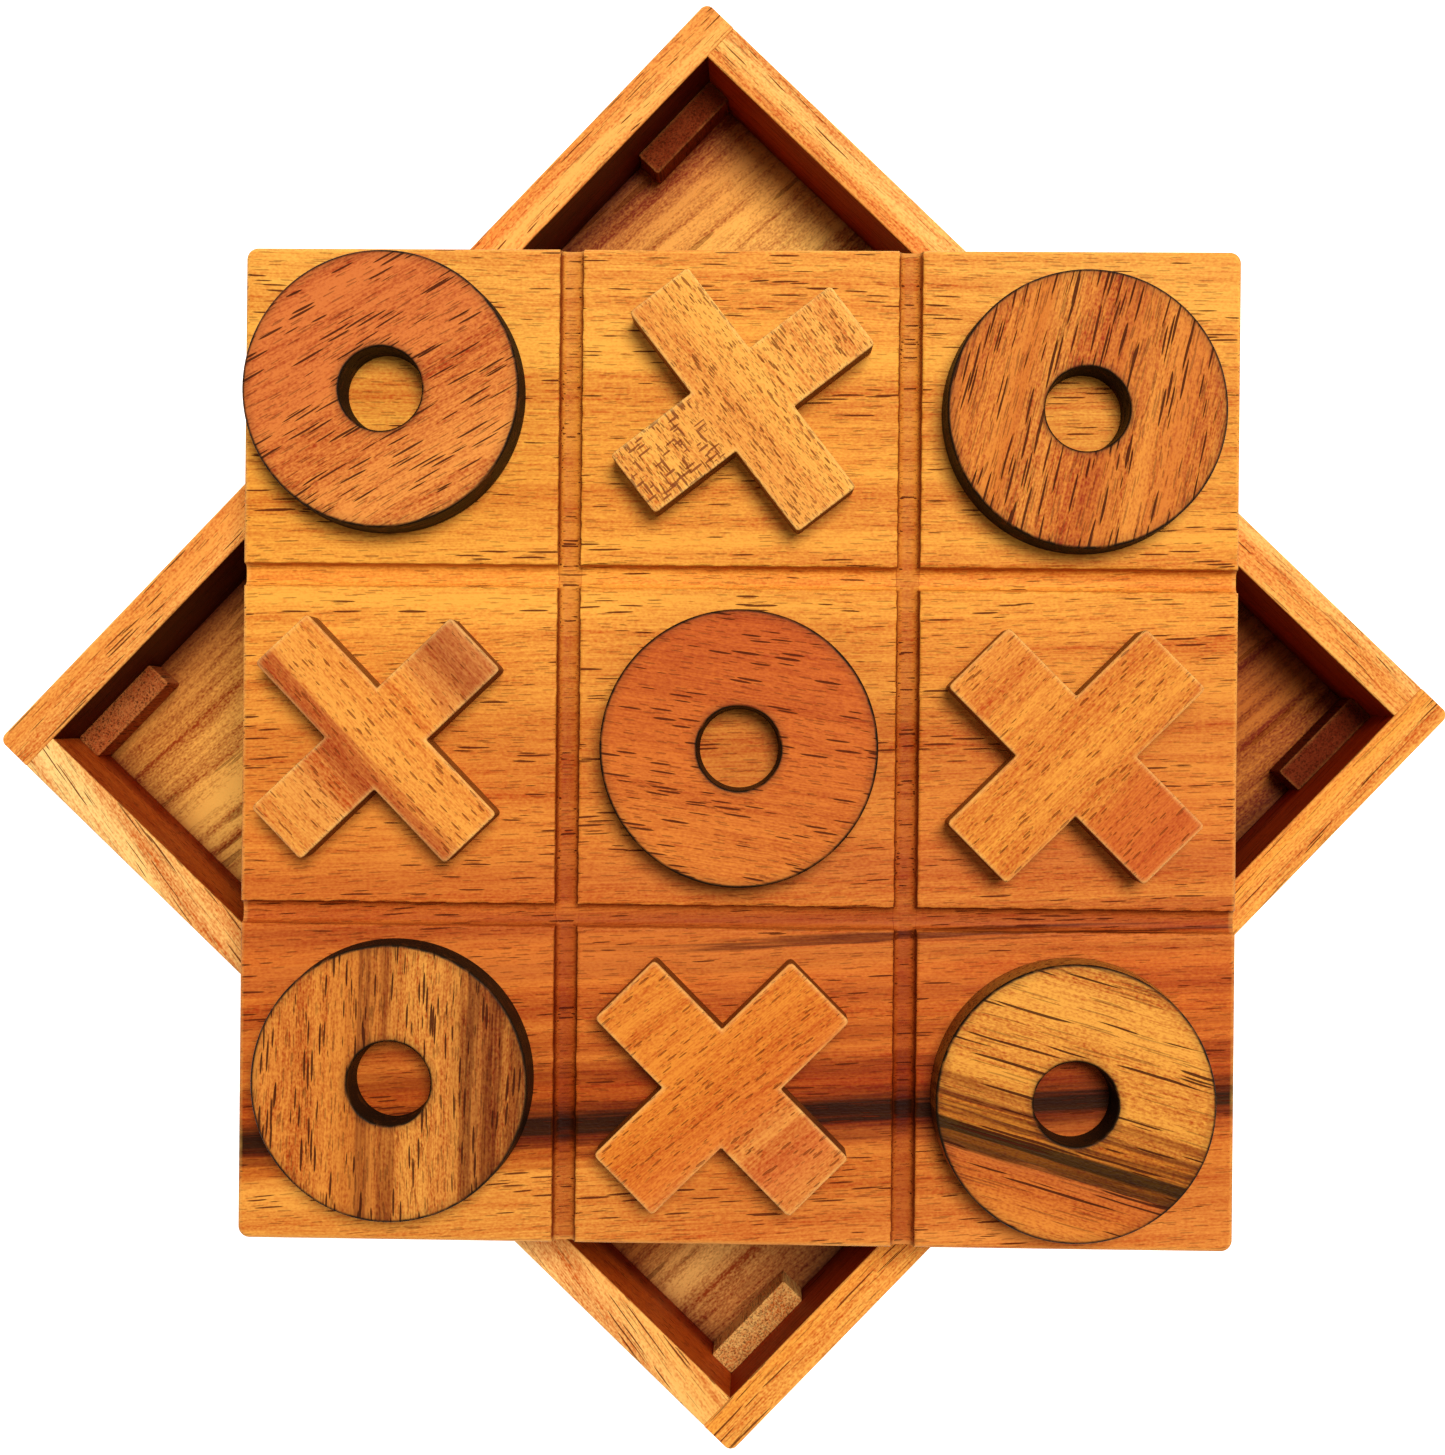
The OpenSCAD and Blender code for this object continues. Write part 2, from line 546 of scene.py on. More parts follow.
@dataclass(frozen=True)
class WoodFinish:
    """Oiled hardwood. Colours run across the grain; lengths are in millimetres.

    A cell is the size of a noise's blobs along the grain, across it and through it.
    """

    across: Stops
    across_far: Stops = ()
    far_from: tuple[float, float] = (-34.0, 6.0)
    shade: str = "#c87a46"
    shade_gain: float = 1.6
    shade_base: float = 0.3
    pore: str = "#6a2606"
    pore_length: float = 10.0
    pore_spacing: float = 0.62
    pore_size: float = 0.24
    pore_strength: float = 0.92
    pore_crowd: tuple[float, float] = (0.2, 0.56)
    crowd_cell: Cell = (24, 3.2, 3.2)
    faint_pores: float = 0.4
    faint_scale: tuple[float, float] = (0.45, 0.6)
    band_width: float = 7.0
    band_length: float = 150.0
    band_depth: float = 0.9
    band_middle: float = 0.52
    streak_width: float = 1.3
    streak_length: float = 55.0
    streak_depth: float = 0.6
    fibre_cell: Cell = (7, 0.22, 0.3)
    fibre_depth: float = 0.8
    grit_cell: Cell = (0.5, 0.28, 0.3)
    grit: float = 0.95
    drift_cell: Cell = (95, 26, 26)
    drift: float = 3.0
    waver_cell: Cell = (9, 2.2, 2.2)
    waver: float = 0.55
    fray_cell: Cell = (26, 0.7, 0.7)
    fray: float = 3.0
    hatch: float = 0.0
    hatch_arm: tuple[float, float] = (4.0, 8.0)
    hatch_size: float = 0.36
    hatch_across: Cell = (0.55, 4.2, 0.55)
    hatch_along: Cell = (4.6, 0.6, 0.6)
    ragged_cell: Cell = (2.2, 2.2, 2.2)
    ragged_from: tuple[float, float] = (0.3, 0.55)
    # Painted highlight colour and strength for the eased edges.
    edge_highlight: str = "#ffc070"
    edge_highlight_strength: float = 0.25
    # Colour the sides darken to: real charring on the rings, painted shade on the crosses.
    char_and_shade: str = "#22140a"
    char_and_shade_base: float = 0.55
    oil: str = "#fffbe0"
    end_colour: str = "#7a3410"
    end_shade: float = 0.35
    end_facing: tuple[float, float] = (0.45, 0.95)
    # Tint of the painted shade on the rails' inner faces, the box floor near the walls and the board's
    # grooves.
    painted_shade_tint: str = "#a85424"
    roughness: float = 0.5
    line_rough: float = 0.15
    pore_rough: float = 0.2
    end_rough: float = 0.15
    shine: float = 0.06
    relief: float = 0.11
    faint_sink: float = 0.4
    thread_rise: float = 0.5
    line_rise: float = 0.25
    grit_rise: float = 0.6
    log_step: Cell = (137.3, 61.7, 43.9)

    def material(self, name: str, grain: Grain) -> bpy.types.Material:
        """Lays out the finish for one piece.

        Args:
            name: the material's name.
            grain: how the piece was cut.

        Returns:
            The material.
        """
        bench = Bench(name)
        place = self._place(bench, grain)
        drawn, frayed = self._drawn(bench, place, grain.seed)
        figure = self._figure(bench, drawn, grain)
        colour = self._wood(bench, self._across(bench, place, frayed), figure)
        if self.hatch:
            colour = self._hatched(bench, place, drawn, colour)
        shader = bench.add("ShaderNodeBsdfPrincipled")
        bench.feed(shader.inputs["Base Color"], self._used(bench, colour, figure))
        rough = figure.lines * self.line_rough + self.roughness + figure.pores * self.pore_rough
        bench.feed(shader.inputs["Roughness"], rough + figure.end * self.end_rough)
        bench.feed(shader.inputs["Normal"], self._bump(bench, figure))
        shader.inputs["Specular IOR Level"].default_value = self.shine
        out = bench.add("ShaderNodeOutputMaterial")
        bench.feed(out.inputs["Surface"], shader.outputs[0])
        return bench.material

    def _place(self, bench: Bench, grain: Grain) -> bpy.types.NodeSocket:
        """The place in the piece in millimetres: X along the grain, Y across it.

        Y is less by X times the grain's slope, and by X times Y times its fan.
        """
        where = bench.add("ShaderNodeTexCoord")
        mapping = bench.add("ShaderNodeMapping", vector_type="TEXTURE")
        bench.feed(mapping.inputs["Vector"], where.outputs["Object"])
        mapping.inputs["Location"].default_value = [length * MM for length in grain.centre]
        lean = -math.pi / 2 if grain.upright else 0.0
        mapping.inputs["Rotation"].default_value = (0.0, lean, math.radians(grain.turn))
        mapping.inputs["Scale"].default_value = (MM, MM, MM)
        if not grain.slope and not grain.fan:
            return mapping.outputs[0]
        x, y, z = bench.parts(mapping.outputs[0])
        return bench.whole(x, y - x * (y * grain.fan + grain.slope), z)

    def _drawn(
        self, bench: Bench, place: bpy.types.NodeSocket, seed: int
    ) -> tuple[bpy.types.NodeSocket, Amount]:
        """The place in the log with its wandering grain, and how far the colours' borders stray."""
        seeded = bench.vector("ADD", place, tuple(step * seed for step in self.log_step))
        wander = (bench.noise(seeded, self.drift_cell) - 0.5) * (self.drift * 2)
        wander = wander + (bench.noise(seeded, self.waver_cell, 1) - 0.5) * self.waver
        frayed = wander + (bench.noise(seeded, self.fray_cell, 3) - 0.5) * self.fray
        return bench.vector("ADD", seeded, bench.whole(0.0, wander, wander)), frayed

    def _figure(self, bench: Bench, drawn: bpy.types.NodeSocket, grain: Grain) -> Figure:
        """The wood's pattern at a place in the log."""
        crowd = bench.spread(bench.noise(drawn, self.crowd_cell), *self.pore_crowd)
        cell = np.array([self.pore_length, self.pore_spacing, self.pore_spacing])
        shorter, closer = self.faint_scale
        streaks = bench.noise(drawn, (self.streak_length, self.streak_width, self.streak_width), 3)
        bands = bench.noise(drawn, (self.band_length, self.band_width, self.band_width), 3)
        return Figure(
            pores=bench.spots(drawn, cell, crowd * self.pore_size),
            faint=bench.spots(drawn, cell * (shorter, closer, closer), self.pore_size),
            streaks=streaks,
            bands=(self.band_middle - bands) * self.band_depth,
            lines=(0.5 - streaks) * self.streak_depth,
            threads=(0.5 - bench.noise(drawn, self.fibre_cell)) * self.fibre_depth,
            grit=(0.5 - bench.noise(drawn, self.grit_cell, 1)) * self.grit,
            end=self._end_grain(bench, grain),
        )

    def _across(self, bench: Bench, place: bpy.types.NodeSocket, stray: Amount) -> bpy.types.NodeSocket:
        """The wood's own colour at its distance across the grain."""
        x, y, _ = bench.parts(place)
        low, high = self.across[0][0], self.across[-1][0]
        share = bench.math("DIVIDE", y + stray - low, high - low, clamp=True)
        near, far = (
            tuple(((at - low) / (high - low), colour) for at, colour in colours)
            for colours in (self.across, self.across_far)
        )
        colour = bench.ramp(share, near)
        return bench.mix(bench.spread(x, *self.far_from), colour, bench.ramp(share, far)) if far else colour

    def _wood(self, bench: Bench, base: bpy.types.NodeSocket, figure: Figure) -> bpy.types.NodeSocket:
        """The wood's own colour with its figure and pores."""
        depth = (figure.bands + figure.lines + (figure.threads + figure.grit)) * self.shade_gain
        depth = bench.math("ADD", depth, self.shade_base, clamp=True)
        colour = bench.tinted(depth, base, self.shade)
        colour = bench.mix(figure.faint * self.faint_pores, colour, linear(self.pore))
        return bench.mix(figure.pores * self.pore_strength, colour, linear(self.pore))

    def _hatched(
        self, bench: Bench, place: bpy.types.NodeSocket, drawn: bpy.types.NodeSocket, colour: object
    ) -> bpy.types.NodeSocket:
        """The colour with fine cracks along and across the grain on one arm of a cross."""
        _, y, _ = bench.parts(place)
        arm = bench.spread(y * -1.0, *self.hatch_arm)
        ragged = bench.spread(bench.noise(drawn, self.ragged_cell, 1), *self.ragged_from)
        size = arm * ragged * self.hatch_size
        across = bench.spots(drawn, self.hatch_across, size)
        along = bench.spots(drawn, self.hatch_along, size)
        cracks = bench.math("MAXIMUM", across, along) * self.hatch
        return bench.mix(cracks, colour, linear(self.pore))

    def _used(self, bench: Bench, colour: object, figure: Figure) -> bpy.types.NodeSocket:
        """The colour after cutting, the painted shade, a painted edge highlight, charring (painted shade on
        the crosses' sides) and oiling.
        """
        colour = bench.mix(figure.end * self.end_shade, colour, linear(self.end_colour))
        # Painted shade.
        colour = bench.tinted(bench.mark(Mark.INSIDE), colour, self.painted_shade_tint)
        # Painted highlight on the eased edges.
        highlit = bench.mark(Mark.EDGE) * (figure.streaks * (2 * self.edge_highlight_strength))
        colour = bench.mix(highlit, colour, linear(self.edge_highlight))
        # Charring on the rings; painted shade on the crosses' sides.
        charred_and_shaded = bench.math("MULTIPLY", bench.mark(Mark.SCORCH_AND_SHADE), figure.streaks + self.char_and_shade_base, clamp=True)
        colour = bench.mix(charred_and_shaded, colour, linear(self.char_and_shade))
        return bench.mix(1.0, colour, linear(self.oil), "MULTIPLY")

    def _bump(self, bench: Bench, figure: Figure) -> bpy.types.NodeSocket:
        """The shading normal, with the pores sunk and the fibres, streaks and grit raised."""
        sunk = (figure.pores + figure.faint * self.faint_sink) * -1.0
        height = sunk + figure.threads * self.thread_rise + figure.lines * self.line_rise
        bump = bench.add("ShaderNodeBump")
        bump.inputs["Strength"].default_value = 1.0
        bump.inputs["Distance"].default_value = self.relief * MM
        bench.feed(bump.inputs["Height"], height + figure.grit * self.grit_rise)
        return bump.outputs[0]

    def _end_grain(self, bench: Bench, grain: Grain) -> Amount:
        """1 where the surface is cut across the grain, 0 where it runs along it."""
        facing = bench.add("ShaderNodeTexCoord").outputs["Normal"]
        turn = math.radians(grain.turn)
        along = (0.0, 0.0, 1.0) if grain.upright else (math.cos(turn), math.sin(turn), 0.0)
        square = bench.math("ABSOLUTE", bench.vector("DOT_PRODUCT", facing, along))
        return bench.spread(square, *self.end_facing)


def rail_finish(pale: str, warm: str, inside: str) -> WoodFinish:
    """A rail's finish, from its paler and warmer colours and the tint of the painted shade on its inner
    face.
    """
    return WoodFinish(
        across=((-12, warm), (-1, pale), (1.5, warm), (12, pale)),
        pore="#6a2c08",
        pore_size=0.24,
        pore_length=24,
        pore_spacing=0.52,
        band_width=3.0,
        painted_shade_tint=inside,
    )


def block_finish(colour: str, pore_strength: float) -> WoodFinish:
    """A corner block's finish: rough, and sawn across the grain on top."""
    return WoodFinish(
        across=((-3, colour), (3, colour)),
        pore="#4a1606",
        pore_length=8,
        pore_spacing=0.5,
        pore_size=0.34,
        pore_strength=pore_strength,
        end_shade=0.1,
        relief=0.2,
        roughness=0.7,
        # A faint painted highlight on the eased edges.
        edge_highlight_strength=0.08,
    )


# The box floor's colours carry painted shade and light besides the wood's streaks: darker towards both long
# edges, next to the side rails, and towards +X the far colours darken the -Y half and lighten the +Y half.
FLOOR_FINISH = WoodFinish(
    across=(
        (-75, "#96582c"), (-67, "#d08c4e"), (-60, "#fcbc70"), (-52, "#d4803c"), (-30, "#c87830"),
        (0, "#c87430"), (20, "#f0a450"), (40, "#fcbc64"), (56, "#e8a04e"), (66, "#b86a30"), (75, "#8e4824"),
    ),
    across_far=(
        (-75, "#6c3414"), (-67, "#a86428"), (-60, "#cc7a30"), (-52, "#b46020"), (-30, "#b86428"),
        (0, "#c87430"), (20, "#f0a450"), (40, "#ffc870"), (56, "#fcb45c"), (66, "#dc8c44"), (75, "#a85c28"),
    ),
    shade="#a05c30",
    pore="#6a2c0c",
    band_width=8,
    band_depth=1.2,
    streak_width=1.5,
    streak_depth=1.5,
    fibre_depth=0.3,
    pore_length=26,
    pore_spacing=1.8,
    pore_size=0.26,
    pore_strength=0.45,
    faint_pores=0.1,
    painted_shade_tint="#702c10",
)
BOARD_FINISH = WoodFinish(
    across=(
        (-69, "#f0aa54"), (-62, "#ea9e48"), (-58, "#ec9e48"), (-55.6, "#cc7228"), (-53.6, "#7e360c"),
        (-52.4, "#3e1e04"), (-50.6, "#321604"), (-49.2, "#8a3e0e"), (-47.0, "#c4621e"), (-45.0, "#a04812"),
        (-42.5, "#d67a30"), (-40.5, "#b85a1e"), (-38.0, "#dc8034"), (-35.0, "#bc5e22"), (-32.5, "#da7a30"),
        (-30.0, "#c6682c"), (-27.0, "#d87630"), (-24.0, "#c0642a"), (-21.5, "#de8036"), (-17.0, "#d07430"),
        (-12.0, "#e28a3a"), (2.0, "#e08c3a"), (18.0, "#f5aa4a"), (34.0, "#ec9e3e"), (50.0, "#f0a846"),
        (69.0, "#f7b254"),
    ),
    across_far=(
        (-69, "#e08a40"), (-62, "#d47c34"), (-58, "#de8638"), (-55.6, "#c4682a"), (-53.6, "#7a300a"),
        (-52.4, "#3e1e04"), (-50.6, "#321604"), (-49.2, "#8a3c0e"), (-47.0, "#c05e20"), (-45.0, "#9c4414"),
        (-42.5, "#d4742e"), (-40.5, "#b4561c"), (-38.0, "#da7a30"), (-35.0, "#bc5e24"), (-32.5, "#d87630"),
        (-30.0, "#c8702e"), (-28.3, "#d67634"), (-27.4, "#5a2004"), (-26.4, "#d07230"), (-24.0, "#c46a2e"),
        (-21.5, "#e08a3c"), (-17.0, "#d07434"), (-12.0, "#de8438"), (2.0, "#dc8838"), (18.0, "#f0a244"),
        (34.0, "#f0a444"), (50.0, "#f2a846"), (69.0, "#f4ae50"),
    ),
    drift=2.0,
    fray=4.6,
    pore="#5c1c04",
    pore_size=0.26,
    pore_spacing=0.54,
    pore_crowd=(0.3, 0.66),
    faint_pores=0.4,
    fibre_depth=0.65,
    grit=0.6,
)


def ring_finish(across: Stops, **changes: object) -> WoodFinish:
    """The rings' finish: long dark pores and charred sides, with these colours across it."""
    settings = {
        # A faint painted highlight on the eased edges.
        "pore": "#421404", "pore_length": 13, "pore_size": 0.29, "edge_highlight_strength": 0.1, "shade": "#b86a38",
    }
    return WoodFinish(across=across, **{**settings, **changes})


def cross_finish(across: Stops, **changes: object) -> WoodFinish:
    """The crosses' finish: short faint pores and sides darkened brown by painted shade, with these colours
    across it.
    """
    settings = {
        "pore": "#84380f", "pore_length": 4.0, "pore_spacing": 0.6, "pore_size": 0.23,
        # The painted edge highlight colour and strength, and the colour that the painted side shade darkens
        # to.
        "pore_strength": 0.75, "grit": 0.8, "char_and_shade": "#4a220c", "edge_highlight": "#ffd690", "edge_highlight_strength": 0.27,
    }
    return WoodFinish(across=across, **{**settings, **changes})


# ---- The set ----


def spans(node: str) -> tuple[Vector, Vector]:
    """A CAD node's lowest and highest corners, in millimetres."""
    low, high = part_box(node)
    return low / MM, high / MM


def wooden(
    skin: Surface, look: WoodFinish, grain: Grain, node: str, body: str
) -> bpy.types.Object:
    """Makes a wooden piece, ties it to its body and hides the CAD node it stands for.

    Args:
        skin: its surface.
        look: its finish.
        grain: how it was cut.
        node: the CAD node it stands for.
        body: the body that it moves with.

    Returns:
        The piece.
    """
    piece = skin.piece(f"{node}_wood", look.material(f"{node}_finish", grain))
    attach(piece, body)
    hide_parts(node)
    LOG.info("%s: %d faces", piece.name, len(piece.data.polygons))
    return piece


@dataclass
class Rail:
    """One rail of the box: a bar with eased edges and a rebate under its inner side.

    The section's points are (across, up), with 0 across at the outer face. They are carried along
    the rail, and near each end they draw in by e - sqrt(e^2 - (e - q)^2) at a distance q from it.
    """

    node: str
    finish: WoodFinish
    slope: float = 0.0
    ease: float = 0.32
    end_ease: float = 0.14
    outer_round: float = 1.2
    foot_chamfer: float = 0.12
    support: float = 0.25
    rebate_depth: float = 2.5
    rebate_height: float = 3.0
    rebate_stop: float = 71.9
    end_supports: tuple[float, float] = (0.3, 1.0)
    butt_clear: float = 1.5
    # Painted highlight on the foot chamfer and the rounded ends.
    foot_highlight: float = 0.6
    end_highlight: float = 0.8
    # Painted shade on the first row of the inner top edge.
    top_shade: float = 0.6
    bend_steps: int = 4
    end_steps: int = 6
    sections: int = 41

    def _bent(self, distance: np.ndarray, radius: float) -> np.ndarray:
        """How far a face with a rounded end has drawn in at a distance from the end."""
        short = np.clip(radius - distance, 0, radius)
        return radius - np.sqrt(radius**2 - short**2)

    def _section(self, width: float, height: float, notched: bool) -> tuple[np.ndarray, np.ndarray]:
        """The section's points and their edge amounts, anticlockwise seen from the rail's far end."""
        deep, tall, foot = self.rebate_depth, self.rebate_height, self.foot_chamfer
        margin = self.ease + self.support
        steep, flat = quarter(self.ease, self.bend_steps)
        points = np.concatenate([
            [(width - deep, 0), (width - deep, tall) if notched else (width, 0), (width, tall)],
            [(width, height * 0.5), (width, height - margin)],
            np.stack([width - flat, height - steep], 1),
            [(width - margin, height), (width * 0.5, height), (margin, height)],
            np.stack([steep, height - flat], 1),
            [(0, height - margin), (0, height * 0.5), (0, margin), (0, foot), (foot, 0), (margin, 0)],
        ])
        # Painted highlight amounts on the eased edges and the foot chamfer.
        arris = [0.5] + [1.0] * (self.bend_steps - 1) + [0.5]
        low_arris = [0, 0, 0, self.foot_highlight, self.foot_highlight, 0]
        return points, np.concatenate([[0] * 5, arris, [0] * 3, arris, low_arris])

    def _stations(self, half: float, butted: bool) -> tuple[np.ndarray, np.ndarray]:
        """The sections' places along the rail, and whether the rebate cuts each."""
        outer = 0.0 if butted else self.outer_round
        ends = [quarter(radius, self.end_steps)[0] for radius in (outer, self.end_ease)]
        near = np.unique(np.round(np.concatenate([*ends, outer + np.array(self.end_supports)]), 6))
        stop = half if butted else self.rebate_stop
        inner = np.linspace(-stop, stop, self.sections)
        if butted:
            inner = inner[np.abs(inner) < half - self.butt_clear]
            along = np.concatenate([near - half, inner, half - near[::-1]])
            return along, np.ones(len(along), bool)
        near = near[half - near > stop]
        along = np.concatenate([near - half, [-stop], inner, [stop], half - near[::-1]])
        plain = np.zeros(len(near) + 1, bool)
        return along, np.concatenate([plain, np.ones(len(inner), bool), plain])

    def _bar(
        self, length: float, width: float, height: float, butted: bool
    ) -> tuple[np.ndarray, dict[Mark, np.ndarray]]:
        """The whole rail, closed at both ends.

        Args:
            length: the rail's length.
            width: its width.
            height: its height.
            butted: whether it fits between the other two.

        Returns:
            Sections by points by (along, across, up) from the rail's middle, outer face and
            underside, and the amounts at each point.
        """
        along, notched = self._stations(length / 2, butted)
        plain, edge = self._section(width, height, False)
        cut, _ = self._section(width, height, True)
        section = np.where(notched[:, None, None], cut[None], plain[None])
        from_end = length / 2 - np.abs(along)
        drawn = self._bent(from_end, self.end_ease)
        outer = drawn if butted else self._bent(from_end, self.outer_round)
        across = outer[:, None] + section[..., 0] * (width - outer - drawn)[:, None] / width
        up = drawn[:, None] * 0.5 + section[..., 1] * (height - drawn * 1.5)[:, None] / height
        # Painted highlight along the eased edges and over the rounded ends.
        at_end = (from_end < self.end_ease * 0.98)[:, None]
        highlit = np.maximum(np.broadcast_to(edge, across.shape), np.where(at_end, self.end_highlight, 0.0))
        # Painted shade on the inner face, fading onto the eased top edge.
        inside = np.zeros_like(across)
        inside[:, 2:5] = 1.0
        inside[:, 5] = self.top_shade
        bar = np.stack([np.broadcast_to(along[:, None], across.shape), across, up], -1)
        caps = [np.full_like(bar[:1], 1) * (end, width / 2, height / 2) for end in along[[0, -1]]]
        marks = {Mark.EDGE: highlit, Mark.INSIDE: inside}
        closed = {mark: np.pad(amount, ((1, 1), (0, 0))) for mark, amount in marks.items()}
        return np.concatenate([caps[0], bar, caps[1]]), closed

    def build(self, seed: int, butted: bool) -> bpy.types.Object:
        """Builds the rail in its CAD node's place.

        Args:
            seed: which part of the log it is from.
            butted: whether it fits between the other two, with square ends and a full rebate.

        Returns:
            The rail.
        """
        low, high = spans(self.node)
        size, middle = high - low, (low + high) / 2
        lies_along_x = size.x > size.y
        length, width = (size.x, size.y) if lies_along_x else (size.y, size.x)
        bar, marks = self._bar(length, width, size.z, butted)
        centre_line = middle.y if lies_along_x else middle.x
        outward = centre_line > 0
        sideways = centre_line + (1.0 if outward else -1.0) * (width / 2 - bar[..., 1])
        if lies_along_x:
            points = np.stack([bar[..., 0] + middle.x, sideways, bar[..., 2] + low.z], -1)
        else:
            points = np.stack([sideways, bar[..., 0] + middle.y, bar[..., 2] + low.z], -1)
        if lies_along_x != outward:
            points, marks = points[:, ::-1], {mark: amount[:, ::-1] for mark, amount in marks.items()}
        grain = Grain(tuple(middle), 0.0 if lies_along_x else 90.0, seed, slope=self.slope)
        return wooden(lofted(points * MM, marks), self.finish, grain, self.node, "box")


@dataclass
class StorageBox:
    """The open box: four rails, the floor panel in their rebates and a block in each corner."""

    floor_round: float = 0.5
    floor_turn: float = -4.0
    # Painted shade on the floor next to the walls, as (inset, amount).
    floor_shade_border: tuple[tuple[float, float], ...] = (
        (2.3, 0.8), (3.4, 0.5), (5.5, 0.25), (8.5, 0.08), (13.0, 0.0),
    )
    block_round: float = 0.4
    slab_ease: float = 0.2
    body: str = "box"

    def build(self) -> None:
        """Builds every piece of the box."""
        # The third colour tints each rail's painted shade on its inner face: darkest on side_rail_left,
        # which faces away from the lamp, palest on end_rail_front, which faces it.
        Rail("side_rail_left", rail_finish("#f6b060", "#ee9c4c", "#541f14")).build(11, False)
        Rail("side_rail_right", rail_finish("#f6b058", "#f0a044", "#b05c30")).build(12, False)
        Rail("end_rail_front", rail_finish("#fdd08e", "#f4b264", "#c87a48"), slope=-0.17).build(13, True)
        Rail("end_rail_back", rail_finish("#fbc074", "#f3aa56", "#a85430")).build(14, True)
        self._floor()
        # The blocks are cut alike; their colours paint the shade in the box: the back blocks are dark and
        # the front ones paler, the front right most.
        looks = {
            Corner.FRONT_LEFT: block_finish("#b4683a", 0.6),
            Corner.FRONT_RIGHT: block_finish("#e0ac6c", 0.3),
            Corner.BACK_LEFT: block_finish("#783216", 0.6),
            Corner.BACK_RIGHT: block_finish("#6a2812", 0.6),
        }
        for seed, corner in enumerate(Corner, 21):
            self._block(corner, looks[corner], seed)

    def _slab(
        self, node: str, rounding: float, seed: int, shade_border: tuple[tuple[float, float], ...] = ()
    ) -> Surface:
        """An eased box that fills a CAD node's room."""
        low, high = spans(node)
        half = (high - low) / 2
        corners = np.array([[-half.x, -half.y], [half.x, -half.y], [half.x, half.y], [-half.x, half.y]])
        outline = Outline(corners, np.full(4, rounding), min(half.x, half.y))
        slab = EasedSlab(outline, low.z, high.z, self.slab_ease, seed=seed, shade_border=shade_border)
        return slab.surface((low + high) / 2, 0.0)

    def _floor(self) -> bpy.types.Object:
        """The floor panel."""
        node = "floor_panel"
        low, high = spans(node)
        grain = Grain(tuple((low + high) / 2), self.floor_turn, 31)
        skin = self._slab(node, self.floor_round, 5, self.floor_shade_border)
        return wooden(skin, FLOOR_FINISH, grain, node, self.body)

    def _block(self, corner: Corner, look: WoodFinish, seed: int) -> bpy.types.Object:
        """One corner block, cut so that its top shows end grain."""
        low, high = spans(corner.value)
        grain = Grain(tuple((low + high) / 2), 0.0, seed, upright=True)
        skin = self._slab(corner.value, self.block_round, seed)
        return wooden(skin, look, grain, corner.value, self.body)


